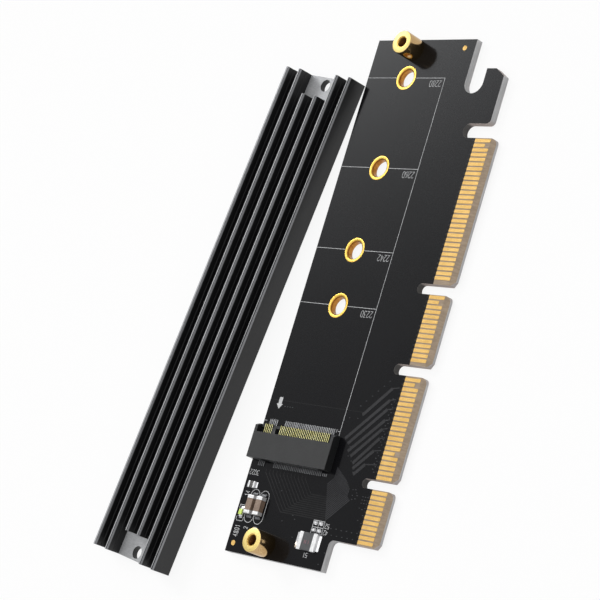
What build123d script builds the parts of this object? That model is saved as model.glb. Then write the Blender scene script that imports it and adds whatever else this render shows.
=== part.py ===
from build123d import *
import math
import os

# A solid-state-drive adapter card for a full-width expansion slot, lying on
# its back, with its finned cooler taken off and laid flat beside it.
# Millimetres, +Z up. The card is described in its own plan: x runs across it
# to the contact edge, with 0 where the contacts end, and y runs along it, with
# 0 at the middle of the key notch. The whole is then centred on the origin.

# Board
BOARD_LEFT = -39.15
BOARD_RIGHT = -11.4
BOARD_LOW = -18.55
BOARD_HIGH = 93.45
EDGE = 1.3
TAB_LOW = -12.15
TAB_HIGH = 72.05
HOOK_RIGHT = -1.5
HOOK_TOP = 87.05
HOOK_LOW = 75.15
LAMINATE = 1.6
FOIL = 0.05
BOARD_BOTTOM = FOIL
BOARD_TOP = FOIL + LAMINATE
BEVEL_ANGLE = 20
CORNER_RADIUS = 1.3
CORNER_CHAMFER = 0.95
STEP_RADIUS = 1.2
HOOK_CHAMFER_X = 2.5
HOOK_CHAMFER_Y = 1.6

# Notches in the contact edge: low side, high side, inner end
KEY_NOTCH = (-0.95, 0.95, -7.4)
NOTCHES = (KEY_NOTCH, (22.2, 24.4, -7.85), (39.0, 41.15, -7.95), (TAB_HIGH, HOOK_LOW, -8.15))
HOOK_SLOT_RIGHT = -6.5
HOOK_SLOT_FLOOR = 81.6

# Edge contacts
PITCH = 1.0
KEY_TO_CONTACT = 1.5
CONTACT_WIDTH = 0.7
CONTACT_LENGTH = 4.1
SHORT_BY = 1.15
CONTACT_CORNER = 0.14
CONTACT_ROWS = ((1, 11), (12, 32), (36, 49), (53, 82))
FRONT_SHORT_NUMBERS = (17, 31, 48, 81)
BACK_SHORT_NUMBERS = (1,)

# Plated holes for the drive's screw, named by the length of drive they hold
HOLE_X = -28.05
DATUM_Y = 4.9
DRIVE_LENGTHS = (30, 42, 60, 80)
HOLE_RADIUS = 1.9
PLATING = 0.25
RING_RADIUS = 2.65

# Drive socket
SOCKET_X = -27.88
SOCKET_WIDTH = 22.65
SOCKET_REAR = 0.86
SOCKET_ROOF_FRONT = 6.31
SOCKET_ARM_FRONT = 7.69
SOCKET_HEIGHT = 1.9
SOCKET_BACK_WALL = 1.4
SOCKET_ARM = 0.75
SILL_REAR = 7.6
SILL_FRONT = 8.15
SILL_HEIGHT = 0.95
MOUTH_FLOOR = 0.5
MOUTH_TOP = 1.5
KEY_X = -6.125
KEY_WIDTH = 1.0
SOCKET_PITCH = 0.5
TERMINAL_WIDTH = 0.26
TERMINAL_THICK = 0.14
BEAM_CREST_Y = 4.0
BEAM_CREST_RISE = 0.13
LOWER_TAIL_END = 9.6
UPPER_TAIL_END = -0.25
LOWER_PLACES = ((-9.25, -7.25), (-4.75, 9.25))
UPPER_PLACES = ((-9.0, -7.5), (-4.5, 9.0))

# Threaded pillars that carry the cooler
PILLAR_X = -28.03
PILLAR_Y = (-15.86, 91.16)
PILLAR_RADIUS = 2.48
THREAD_RADIUS = 1.25
NUT_HEIGHT = 0.4
PILLAR_HEIGHT = 3.9
NOSE_RADIUS = 1.9
STUD_LENGTH = 1.6
BORE_DEPTH = 3.3
MOUTH_CHAMFER = 0.12

# Chip parts: middle in x and y, then the sizes
CAPACITOR_X = (-35.1, -32.55)
CAPACITOR_Y = -8.5
CAPACITOR_SIZE = (1.68, 3.94, 1.28)
CAPACITOR_CAP = 0.77
LED_AT = (-37.5, -10.27)
LED_SIZE = (0.95, 1.8, 0.3)
LED_LENS = (0.95, 1.15, 0.32)
RESISTOR_AT = (-36.83, -4.35)
RESISTOR_SIZE = (1.95, 1.4, 0.5)
RESISTOR_CAP = 0.5
FUSE_AT = (-16.92, -13.45)
FUSE_SIZE = (4.95, 3.65, 0.55)
FUSE_CAP = 1.08
SOLDER_SHARE = 0.86
DOME_AT = (-15.55, -10.2)
DOME_SPACING = 1.48
DOME_RADIUS = 0.48
DOME_HEIGHT = 0.34
DOME_SIDES = 12
DOME_TAPER = 25
FIDUCIALS = ((-14.15, 91.5), (-37.4, -16.7))
FIDUCIAL_RADIUS = 0.55

# Cooler
SINK_HOLE_TO_END = 1.825
SINK_LENGTH = PILLAR_Y[1] - PILLAR_Y[0] + 2 * SINK_HOLE_TO_END
SINK_WIDTH = 20.8
SINK_HEIGHT = 4.8
SINK_BASE = 1.5
FIN_COUNT = 6
FIN_TOP = 0.78
FIN_FOOT = 1.0
FIN_STEP = 3.1
FIN_EDGE = 0.1
SHORT_FIN_COUNT = 2
SINK_END = 5.3
MILL_DEPTH = 0.12
SINK_HOLE_RADIUS = 1.35
SINK_X = -58.34
SINK_Y = 30.11
SINK_TURN = -7.25


def overall_limits():
    """Plan limits of the card and the turned cooler together."""
    turn = math.radians(SINK_TURN)
    half_x = SINK_WIDTH / 2 * math.cos(turn) + SINK_LENGTH / 2 * abs(math.sin(turn))
    half_y = SINK_WIDTH / 2 * abs(math.sin(turn)) + SINK_LENGTH / 2 * math.cos(turn)
    left = min(BOARD_LEFT, SINK_X - half_x)
    low = min(BOARD_LOW, SINK_Y - half_y)
    high = max(BOARD_HIGH, SINK_Y + half_y)
    return left, EDGE, low, high


LEFT, RIGHT, LOW, HIGH = overall_limits()
SHIFT_X = -(LEFT + RIGHT) / 2
SHIFT_Y = -(LOW + HIGH) / 2
CARD = Pos(SHIFT_X, SHIFT_Y, 0)


def block(x_low, x_high, y_low, y_high, z_low, z_high):
    """A box given by its limits."""
    middle = Pos((x_low + x_high) / 2, (y_low + y_high) / 2, (z_low + z_high) / 2)
    return middle * Box(x_high - x_low, y_high - y_low, z_high - z_low)


def plate(x_low, x_high, y_low, y_high):
    """A flat rectangle given by its limits."""
    return Pos((x_low + x_high) / 2, (y_low + y_high) / 2) * Rectangle(x_high - x_low, y_high - y_low)


def disc(radius, x, y, z_low, z_high):
    """An upright cylinder given by its middle and its two heights."""
    return Pos(x, y, (z_low + z_high) / 2) * Cylinder(radius, z_high - z_low)


def corner(sketch, x, y):
    """The corner of a flat outline that lies nearest to a point."""
    return sketch.vertices().sort_by_distance((x, y, 0))[0]


def hole_y(length):
    """Place along the card of the screw hole for one drive length."""
    return DATUM_Y + length


def contact_y(number):
    """Place along the card of one edge contact, counted from the low end."""
    below_key = CONTACT_ROWS[0][1]
    if number <= below_key:
        return -KEY_TO_CONTACT - (below_key - number) * PITCH
    return KEY_TO_CONTACT + (number - below_key - 1) * PITCH


def notch(low, high, end):
    """A round-ended notch that opens towards the contact edge."""
    radius = (high - low) / 2
    middle = (low + high) / 2
    return plate(end + radius, EDGE + 2, low, high) + Pos(end + radius, middle) * Circle(radius)


def hook_slot():
    """The slot with a round floor between the board and the hook."""
    radius = (HOOK_SLOT_RIGHT - BOARD_RIGHT) / 2
    middle = (HOOK_SLOT_RIGHT + BOARD_RIGHT) / 2
    floor = HOOK_SLOT_FLOOR + radius
    return plate(BOARD_RIGHT, HOOK_SLOT_RIGHT, floor, HOOK_TOP + 2) + Pos(middle, floor) * Circle(radius)


def board_outline():
    """Plan of the laminate with its notches and softened corners."""
    outline = plate(BOARD_LEFT, BOARD_RIGHT, BOARD_LOW, BOARD_HIGH)
    outline += plate(BOARD_RIGHT - 1, EDGE, TAB_LOW, TAB_HIGH)
    outline += plate(BOARD_RIGHT - 1, HOOK_RIGHT, TAB_HIGH - 1, HOOK_TOP)
    for low, high, end in NOTCHES:
        outline -= notch(low, high, end)
    outline -= hook_slot()
    outline = fillet(corner(outline, BOARD_RIGHT, TAB_LOW), STEP_RADIUS)
    section_lows = [TAB_LOW] + [high for low, high, end in NOTCHES[:3]]
    section_highs = [low for low, high, end in NOTCHES]
    for low in section_lows:
        outline = chamfer(corner(outline, EDGE, low), CORNER_CHAMFER)
    for high in section_highs:
        outline = fillet(corner(outline, EDGE, high), CORNER_RADIUS)
    outline = fillet(corner(outline, HOOK_RIGHT, HOOK_LOW), 1.0)
    triangle = Polyline(
        (HOOK_RIGHT, HOOK_TOP),
        (HOOK_RIGHT - HOOK_CHAMFER_X, HOOK_TOP),
        (HOOK_RIGHT, HOOK_TOP - HOOK_CHAMFER_Y),
        (HOOK_RIGHT, HOOK_TOP),
    )
    return outline - make_face(triangle)


def edge_bevel(z_surface, way):
    """The wedge taken off one face of the board along its contact edge."""
    depth = EDGE * math.tan(math.radians(BEVEL_ANGLE)) * way
    start = 0.03
    out = EDGE + 0.5
    rise = -0.5 * way
    section = Plane.XZ * make_face(Polyline(
        (start, z_surface),
        (EDGE, z_surface + depth),
        (out, z_surface + depth),
        (out, z_surface + rise),
        (start, z_surface + rise),
        (start, z_surface),
    ))
    return Pos(0, TAB_HIGH + 1, 0) * extrude(section, TAB_HIGH - TAB_LOW + 2)


def circuit_board():
    """The glass-fibre laminate, with every hole that goes through it."""
    board = Pos(0, 0, BOARD_BOTTOM) * extrude(board_outline(), LAMINATE)
    board -= edge_bevel(BOARD_TOP, -1)
    board -= edge_bevel(BOARD_BOTTOM, 1)
    for length in DRIVE_LENGTHS:
        board -= disc(HOLE_RADIUS + PLATING, HOLE_X, hole_y(length), -1, BOARD_TOP + 1)
    for y in PILLAR_Y:
        board -= disc(NOSE_RADIUS, PILLAR_X, y, -1, BOARD_TOP + 1)
    return board


def hole_plating(length):
    """Copper barrel and the ring on each face of one screw hole, in one piece."""
    y = hole_y(length)
    sleeve = disc(HOLE_RADIUS + PLATING, HOLE_X, y, 0, BOARD_TOP + FOIL)
    sleeve += disc(RING_RADIUS, HOLE_X, y, 0, BOARD_BOTTOM)
    sleeve += disc(RING_RADIUS, HOLE_X, y, BOARD_TOP, BOARD_TOP + FOIL)
    return sleeve - disc(HOLE_RADIUS, HOLE_X, y, -1, BOARD_TOP + 1)


def contact_plan(number, short, corner_cut):
    """Plan of one edge contact, its two outer corners cut where they are seen."""
    y = contact_y(number)
    end = -SHORT_BY if short else 0.0
    half = CONTACT_WIDTH / 2
    plan = plate(-CONTACT_LENGTH, end, y - half, y + half)
    if corner_cut:
        plan = chamfer(plan.vertices().group_by(Axis.X)[-1], corner_cut)
    return plan


def edge_contacts(first, last, shorts, z, corner_cut):
    """One row of flat contacts between two notches."""
    plans = [contact_plan(number, number in shorts, corner_cut) for number in range(first, last + 1)]
    return Pos(0, 0, z) * Compound([extrude(plan, FOIL) for plan in plans])


def places(spans):
    """Places of the socket's contacts across the card, for spans of the row."""
    across = []
    for first, last in spans:
        count = round((last - first) / SOCKET_PITCH) + 1
        across += [SOCKET_X + first + index * SOCKET_PITCH for index in range(count)]
    return across


def bent_strip(points):
    """A strip of one contact's width along y, from the corners of its side view."""
    outline = [(-y, BOARD_TOP + z) for y, z in points]
    side = make_face(Polyline(*outline, outline[0]))
    strip = extrude(Plane.YZ * mirror(side, Plane.YZ), TERMINAL_WIDTH)
    return Pos(-TERMINAL_WIDTH / 2, 0, 0) * strip


def lower_contact():
    """A contact that springs inwards from the sill and has its tail in front of it."""
    thick = TERMINAL_THICK
    sill = SILL_HEIGHT
    front = SILL_FRONT
    crest = sill + BEAM_CREST_RISE
    inner = SOCKET_REAR + SOCKET_BACK_WALL
    return bent_strip([
        (inner, sill),
        (BEAM_CREST_Y, crest),
        (SOCKET_ROOF_FRONT, sill),
        (front, sill),
        (front, 0),
        (LOWER_TAIL_END, 0),
        (LOWER_TAIL_END, thick),
        (front + thick, thick),
        (front + thick, sill + thick),
        (SOCKET_ROOF_FRONT, sill + thick),
        (BEAM_CREST_Y, crest + thick),
        (inner, sill + thick),
    ])


def upper_contact():
    """A contact under the roof that ends in a tail behind the socket."""
    thick = TERMINAL_THICK
    roof = MOUTH_TOP
    rear = SOCKET_REAR
    return bent_strip([
        (SOCKET_ROOF_FRONT - 0.3, roof),
        (rear - thick, roof),
        (rear - thick, thick),
        (UPPER_TAIL_END, thick),
        (UPPER_TAIL_END, 0),
        (rear, 0),
        (rear, roof - thick),
        (SOCKET_ROOF_FRONT - 0.3, roof - thick),
    ])


def socket_contacts(contact, spans):
    """A whole row of socket contacts."""
    return Compound([Pos(x, 0, 0) * contact for x in places(spans)])


def socket_housing():
    """The socket's moulding: roof, back wall, side walls, front sill and key rib."""
    left = SOCKET_X - SOCKET_WIDTH / 2
    right = SOCKET_X + SOCKET_WIDTH / 2
    side = make_face(Polyline(
        (SOCKET_REAR, 0),
        (SILL_FRONT, 0),
        (SILL_FRONT, SILL_HEIGHT),
        (SOCKET_ARM_FRONT, SOCKET_HEIGHT),
        (SOCKET_REAR, SOCKET_HEIGHT),
        (SOCKET_REAR, 0),
    ))
    housing = Pos(left, 0, BOARD_TOP) * extrude(Plane.YZ * side, SOCKET_WIDTH)
    top = BOARD_TOP + SOCKET_HEIGHT
    floor = BOARD_TOP + MOUTH_FLOOR
    mouth = BOARD_TOP + MOUTH_TOP
    inner = SOCKET_REAR + SOCKET_BACK_WALL
    open_left = left + SOCKET_ARM
    open_right = right - SOCKET_ARM
    housing -= block(open_left, open_right, inner, SILL_REAR, floor, mouth)
    housing -= block(open_left, open_right, SOCKET_ROOF_FRONT, SILL_REAR, floor, top + 1)
    housing -= block(open_left, open_right, SILL_REAR, SILL_FRONT + 1, BOARD_TOP + SILL_HEIGHT, top + 1)
    key = SOCKET_X + KEY_X
    housing += block(key - KEY_WIDTH / 2, key + KEY_WIDTH / 2, inner, SILL_REAR, floor, mouth)
    channels = [
        block(x - TERMINAL_WIDTH / 2, x + TERMINAL_WIDTH / 2, SOCKET_REAR - 1, inner + 0.1,
              mouth - TERMINAL_THICK, mouth)
        for x in places(UPPER_PLACES)
    ]
    return housing - channels


def standoff_nut(y):
    """The board-mounted nut: a thin flange and a nose that fills its hole."""
    top = BOARD_TOP + NUT_HEIGHT
    nut = disc(PILLAR_RADIUS, PILLAR_X, y, BOARD_TOP, top)
    nut += disc(NOSE_RADIUS, PILLAR_X, y, BOARD_BOTTOM, BOARD_TOP)
    return nut - disc(THREAD_RADIUS, PILLAR_X, y, -1, top + 1)


def standoff_pillar(y):
    """The upper pillar: a male stud below, a threaded bore above."""
    foot = BOARD_TOP + NUT_HEIGHT
    top = foot + PILLAR_HEIGHT
    pillar = disc(PILLAR_RADIUS, PILLAR_X, y, foot, top)
    pillar -= disc(THREAD_RADIUS, PILLAR_X, y, top - BORE_DEPTH, top + 1)
    rims = pillar.edges().filter_by(GeomType.CIRCLE).group_by(Axis.Z)
    pillar = chamfer([rims[0].sort_by(SortBy.RADIUS)[-1]] + list(rims[-1]), MOUTH_CHAMFER)
    return pillar + disc(THREAD_RADIUS, PILLAR_X, y, foot - STUD_LENGTH, foot)


def chip_body(at, size, cap, axis):
    """The bare middle of a chip part, slimmer than its end caps."""
    trim = [0.03, 0.03, 0.03]
    trim[axis] = cap
    return block(
        at[0] - size[0] / 2 + trim[0], at[0] + size[0] / 2 - trim[0],
        at[1] - size[1] / 2 + trim[1], at[1] + size[1] / 2 - trim[1],
        BOARD_TOP, BOARD_TOP + size[2] - trim[2],
    )


def chip_cap(at, size, cap, axis, way):
    """The metal end cap of a chip part, with its upper outer edge cut."""
    half = [size[0] / 2, size[1] / 2]
    middle = list(at)
    middle[axis] += way * (half[axis] - cap / 2)
    half[axis] = cap / 2
    cap_block = block(
        middle[0] - half[0], middle[0] + half[0], middle[1] - half[1], middle[1] + half[1],
        BOARD_TOP, BOARD_TOP + size[2],
    )
    outer = Axis.X if axis == 0 else Axis.Y
    face = cap_block.faces().sort_by(outer)[-1 if way > 0 else 0]
    return chamfer(face.edges().sort_by(Axis.Z)[-1], min(0.1, size[2] / 4))


def solder_fillet(at, size, axis, way, reach, rise):
    """The hollow-faced solder slope between a chip's end cap and its pad."""
    points = [(0, 0), (reach, 0), (reach, 0.06), (reach * 0.35, rise * 0.35), (0, rise)]
    side = make_face(Polyline(*points, points[0]))
    width = size[1 - axis] * SOLDER_SHARE
    slope = extrude(Plane.XZ * side, width / 2, both=True)
    turn = {(0, 1): 0, (0, -1): 180, (1, 1): 90, (1, -1): -90}[(axis, way)]
    start = list(at)
    start[axis] += way * size[axis] / 2
    return Pos(start[0], start[1], BOARD_TOP) * Rot(0, 0, turn) * slope


def led_lens():
    """The clear block on the lamp's carrier."""
    x, y = LED_AT
    low = BOARD_TOP + LED_SIZE[2]
    lens = block(
        x - LED_LENS[0] / 2, x + LED_LENS[0] / 2, y - LED_LENS[1] / 2, y + LED_LENS[1] / 2,
        low, low + LED_LENS[2],
    )
    return chamfer(lens.edges().group_by(Axis.Z)[-1], 0.06)


def solder_dome(column, row):
    """One of four solder-filled holes, a low many-sided cone with a flat crown."""
    x = DOME_AT[0] + column * DOME_SPACING / 2
    y = DOME_AT[1] + row * DOME_SPACING / 2
    foot = RegularPolygon(DOME_RADIUS, DOME_SIDES)
    return Pos(x, y, BOARD_TOP) * extrude(foot, DOME_HEIGHT, taper=DOME_TAPER)


def fin_middles():
    """Places of the fins across the cooler."""
    pitch = (SINK_WIDTH - FIN_FOOT) / (FIN_COUNT - 1)
    return [-(SINK_WIDTH - FIN_FOOT) / 2 + index * pitch for index in range(FIN_COUNT)]


def sink_profile():
    """End view of the extrusion: base and fins, each thinner in its upper half."""
    profile = plate(-SINK_WIDTH / 2, SINK_WIDTH / 2, 0, SINK_BASE)
    for index, middle in enumerate(fin_middles()):
        outer = -1 if index == 0 else 1 if index == FIN_COUNT - 1 else 0
        shift = outer * (FIN_FOOT - FIN_TOP) / 2
        fin = plate(middle - FIN_FOOT / 2, middle + FIN_FOOT / 2, 0, FIN_STEP)
        upper = plate(middle + shift - FIN_TOP / 2, middle + shift + FIN_TOP / 2, 0, SINK_HEIGHT)
        profile += fin + chamfer(upper.vertices().group_by(Axis.Y)[-1], FIN_EDGE)
    return profile


def heat_sink():
    """The finned cooler, milled at both ends for its two screws."""
    sink = Pos(0, SINK_LENGTH / 2, 0) * extrude(Plane.XZ * sink_profile(), SINK_LENGTH)
    middles = fin_middles()
    whole = (FIN_COUNT - SHORT_FIN_COUNT) // 2
    left = middles[whole - 1] + FIN_FOOT / 2
    right = middles[-whole] - FIN_FOOT / 2
    for way in (-1, 1):
        end = way * (SINK_LENGTH / 2 + 1)
        start = way * (SINK_LENGTH / 2 - SINK_END)
        sink -= block(left, right, min(start, end), max(start, end), SINK_BASE - MILL_DEPTH, SINK_HEIGHT + 1)
        sink -= disc(SINK_HOLE_RADIUS, 0, way * (SINK_LENGTH / 2 - SINK_HOLE_TO_END), -1, SINK_BASE + 1)
    return Pos(SINK_X, SINK_Y, 0) * Rot(0, 0, SINK_TURN) * sink


def chip_nodes(name, at, size, cap, axis, reach, rise):
    """Body, end caps and solder of one chip part, under their node names."""
    nodes = {name + "_body": chip_body(at, size, cap, axis)}
    for side, way in (("a", -1), ("b", 1)):
        nodes[name + "_cap_" + side] = chip_cap(at, size, cap, axis, way)
        nodes[name + "_solder_" + side] = solder_fillet(at, size, axis, way, reach, rise)
    return nodes


def all_nodes():
    """Every piece of the part under its node name."""
    nodes = {"circuit_board": circuit_board()}
    for length in DRIVE_LENGTHS:
        nodes["screw_hole_ring_%d" % length] = hole_plating(length)
    for index, (first, last) in enumerate(CONTACT_ROWS, 1):
        front = edge_contacts(first, last, FRONT_SHORT_NUMBERS, BOARD_TOP, CONTACT_CORNER)
        nodes["front_contacts_%d" % index] = front
        nodes["back_contacts_%d" % index] = edge_contacts(first, last, BACK_SHORT_NUMBERS, 0, 0)
    nodes["socket_housing"] = socket_housing()
    nodes["socket_lower_contacts"] = socket_contacts(lower_contact(), LOWER_PLACES)
    nodes["socket_upper_contacts"] = socket_contacts(upper_contact(), UPPER_PLACES)
    for end, y in zip(("low", "high"), PILLAR_Y):
        nodes["standoff_nut_" + end] = standoff_nut(y)
        nodes["standoff_pillar_" + end] = standoff_pillar(y)
    for index, x in enumerate(CAPACITOR_X, 1):
        name = "capacitor_%d" % index
        nodes.update(chip_nodes(name, (x, CAPACITOR_Y), CAPACITOR_SIZE, CAPACITOR_CAP, 1, 0.65, 0.85))
    nodes.update(chip_nodes("resistor", RESISTOR_AT, RESISTOR_SIZE, RESISTOR_CAP, 0, 0.5, 0.3))
    nodes.update(chip_nodes("fuse", FUSE_AT, FUSE_SIZE, FUSE_CAP, 0, 0.85, 0.4))
    nodes.update(chip_nodes("led", LED_AT, LED_SIZE, 0.3, 1, 0.3, 0.26))
    nodes["led_lens"] = led_lens()
    for column in (-1, 1):
        for row in (-1, 1):
            name = "solder_dome_%s_%s" % ("left" if column < 0 else "right", "low" if row < 0 else "high")
            nodes[name] = solder_dome(column, row)
    for name, (x, y) in zip(("high", "low"), FIDUCIALS):
        nodes["sighting_mark_" + name] = disc(FIDUCIAL_RADIUS, x, y, BOARD_TOP, BOARD_TOP + FOIL)
    nodes["heat_sink"] = heat_sink()
    return nodes


os.makedirs("parts", exist_ok=True)
for node, shape in all_nodes().items():
    export_step(CARD * shape, "parts/" + node + ".step")
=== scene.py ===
import math

import bmesh
import bpy
from mathutils import Matrix, Vector


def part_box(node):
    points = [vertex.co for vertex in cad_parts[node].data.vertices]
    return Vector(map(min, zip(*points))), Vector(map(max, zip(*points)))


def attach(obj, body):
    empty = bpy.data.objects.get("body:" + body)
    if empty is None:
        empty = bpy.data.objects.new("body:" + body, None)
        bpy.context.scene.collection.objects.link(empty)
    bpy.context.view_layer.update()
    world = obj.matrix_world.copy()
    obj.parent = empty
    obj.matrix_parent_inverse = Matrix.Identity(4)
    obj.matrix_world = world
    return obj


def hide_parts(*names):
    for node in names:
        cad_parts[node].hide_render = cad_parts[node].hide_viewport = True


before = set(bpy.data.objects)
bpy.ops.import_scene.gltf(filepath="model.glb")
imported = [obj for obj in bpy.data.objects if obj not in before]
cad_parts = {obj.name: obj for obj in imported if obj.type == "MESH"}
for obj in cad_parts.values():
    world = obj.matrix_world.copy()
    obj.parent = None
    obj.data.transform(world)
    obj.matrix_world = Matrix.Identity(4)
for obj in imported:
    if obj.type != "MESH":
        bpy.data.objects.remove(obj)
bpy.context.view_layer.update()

MM = 0.001
MICRON = 0.000001

# Board
BOARD_LEFT = -39.15
BOARD_LOW = -18.55
BOARD_BACK = 0.05
BOARD_TOP = 1.65
TAB_HIGH = 72.05
KEY_NOTCH_LOW = -0.95
KEY_NOTCH_END = -7.4
LAST_NOTCH_HIGH = 75.15
LAST_NOTCH_END = -8.15
MASK_END = -4.1
CONTACT_PITCH = 1.0
CONTACT_SPANS = ((-11.5, -1.5), (1.5, 21.5), (25.5, 38.5), (42.5, 71.5))

# Thickness of what lies on the board
INK = 0.018
TRACE = 0.03
DOT = 0.02
PAD = 0.025

# Plated holes for the drive's screw
HOLE_X = -28.05
DATUM_Y = 4.9
DRIVE_LENGTHS = (30, 42, 60, 80)
HOLE_RADIUS = 1.9
PLATING = 0.25
RING_RADIUS = 2.65

# Standoffs, with the end of the card and the place along it
PILLAR_X = -28.03
PILLARS = (("low", -15.86), ("high", 91.16))
PILLAR_RADIUS = 2.48
NOSE_RADIUS = 1.9
THREAD_RADIUS = 1.25
STUD_LENGTH = 1.6
NUT_TOP = 2.05
PILLAR_TOP = 5.95
BORE_FLOOR = 2.65

# Drive socket
SOCKET_X = -27.88
SOCKET_REAR = 0.86
SOCKET_PITCH = 0.5
TAIL_HEIGHT = 0.4

# Cooler
SINK_AT = (-58.34, 30.11)
SINK_TURN = math.radians(-7.25)
SINK_LENGTH = 110.67
SINK_HEIGHT = 4.8
MILLED_LENGTH = 5.3
MILLED_FLOOR = 1.38
FIN_PITCH = 3.96

# Print
OUTLINE_LINE = 0.105
OUTLINE_RIGHT = -17.15
OUTLINE_FOOT = 8.35
SOCKET_LINE_Y = 9.2
FRAME_LINE = 0.12
UPSIDE_DOWN = math.pi
SIDEWAYS = math.pi / 2

board_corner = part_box("circuit_board")[0]
SHIFT = Vector((board_corner.x / MM - BOARD_LEFT, board_corner.y / MM - BOARD_LOW, 0))
scene = bpy.context.scene


def place(x, y, z=BOARD_TOP):
    """A point of the card's plan, in metres in the part's frame."""
    return (Vector((x, y, z)) + SHIFT) * MM


# Shader helpers


def fill(tree, made, values):
    """Sets the sockets of a node, or links them to other sockets."""
    for key, value in (values or {}).items():
        socket = made.inputs[key]
        if isinstance(value, bpy.types.NodeSocket):
            tree.links.new(value, socket)
        else:
            socket.default_value = value
    return made


def node(tree, kind, values=None, **settings):
    """A shader node with its settings and the values of its sockets."""
    made = tree.nodes.new("ShaderNode" + kind)
    for key, value in settings.items():
        setattr(made, key, value)
    return fill(tree, made, values)


def calc(tree, operation, first, second=0.0, third=0.0):
    """One sum on numbers or sockets."""
    return node(tree, "Math", {0: first, 1: second, 2: third}, operation=operation).outputs[0]


def ramp(tree, value, low, high, to_low=0.0, to_high=1.0):
    """A clamped change from one number to another as a value rises."""
    limits = {"From Min": low, "From Max": high, "To Min": to_low, "To Max": to_high}
    return node(tree, "MapRange", {"Value": value, **limits}).outputs["Result"]


def past(tree, value, line, blur):
    """A mask that is 1 where a value is past a line."""
    return ramp(tree, value, line - blur, line + blur)


def short_of(tree, value, line, blur):
    """A mask that is 1 where a value falls short of a line."""
    return ramp(tree, value, line - blur, line + blur, 1.0, 0.0)


def all_of(tree, *masks):
    """A mask that is 1 only where all the given masks are."""
    product = masks[0]
    for mask in masks[1:]:
        product = calc(tree, "MULTIPLY", product, mask)
    return product


def inverse(tree, mask):
    """A mask that is 1 where another one is 0."""
    return calc(tree, "SUBTRACT", 1.0, mask)


def off_centre(tree, value):
    """The distance of a value from the nearest whole number, with its sign."""
    return calc(tree, "SUBTRACT", value, calc(tree, "ROUND", value))


def mixed(tree, factor, first, second):
    """Two colours mixed by a mask."""
    made = node(tree, "Mix", {0: factor, 6: first, 7: second}, data_type="RGBA")
    return made.outputs[2]


def shade(red, green, blue):
    """A colour given as it should look on the screen, 0 to 255."""
    def linear(part):
        part /= 255
        return part / 12.92 if part <= 0.04045 else ((part + 0.055) / 1.055) ** 2.4
    return (linear(red), linear(green), linear(blue), 1.0)


def new_group(name, inputs, outputs):
    """An empty node group with named sockets."""
    group = bpy.data.node_groups.new(name, "ShaderNodeTree")
    kinds = {"number": "NodeSocketFloat", "vector": "NodeSocketVector", "colour": "NodeSocketColor"}
    for label, kind, value in inputs:
        socket = group.interface.new_socket(name=label, in_out="INPUT", socket_type=kinds[kind])
        socket.default_value = value
    for label, kind in outputs:
        group.interface.new_socket(name=label, in_out="OUTPUT", socket_type=kinds[kind])
    return group, group.nodes.new("NodeGroupInput"), group.nodes.new("NodeGroupOutput")


def placed_group(tree, group, values):
    """A node group placed in a material with its own values."""
    made = tree.nodes.new("ShaderNodeGroup")
    made.node_tree = group
    return fill(tree, made, values)


def grain_group():
    """Stretched noise as a mask: brushed lines, mottling or moulded texture."""
    inputs = (
        ("Place", "vector", (0, 0, 0)),
        ("Stretch", "vector", (1000, 1000, 1000)),
        ("Roughness", "number", 0.5),
        ("Low", "number", 0.3),
        ("High", "number", 0.7),
    )
    group, entry, leave = new_group("grain", inputs, (("Mask", "number"),))
    given = entry.outputs
    scaled = node(group, "VectorMath", {0: given["Place"], 1: given["Stretch"]}, operation="MULTIPLY")
    noise = node(group, "TexNoise", {
        "Vector": scaled.outputs[0],
        "Scale": 1.0,
        "Detail": 3.0,
        "Roughness": given["Roughness"],
    })
    mask = ramp(group, noise.outputs["Fac"], given["Low"], given["High"])
    group.links.new(mask, leave.inputs["Mask"])
    return group


def toning_group():
    """A base colour varied between a darker and a lighter tone by two grains."""
    inputs = (
        ("Place", "vector", (0, 0, 0)),
        ("Dark", "colour", (0, 0, 0, 1)),
        ("Light", "colour", (1, 1, 1, 1)),
        ("Coarse", "number", 300.0),
        ("Fine", "number", 3000.0),
    )
    group, entry, leave = new_group("toning", inputs, (("Colour", "colour"), ("Mask", "number")))
    given = entry.outputs
    coarse = node(group, "TexNoise", {"Vector": given["Place"], "Scale": given["Coarse"], "Detail": 2.0})
    fine = node(group, "TexNoise", {"Vector": given["Place"], "Scale": given["Fine"], "Detail": 2.0})
    both = calc(group, "ADD", coarse.outputs["Fac"], fine.outputs["Fac"])
    mask = ramp(group, both, 0.8, 1.2)
    colour = mixed(group, mask, given["Dark"], given["Light"])
    group.links.new(colour, leave.inputs["Colour"])
    group.links.new(mask, leave.inputs["Mask"])
    return group


GRAIN = grain_group()
TONING = toning_group()


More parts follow.
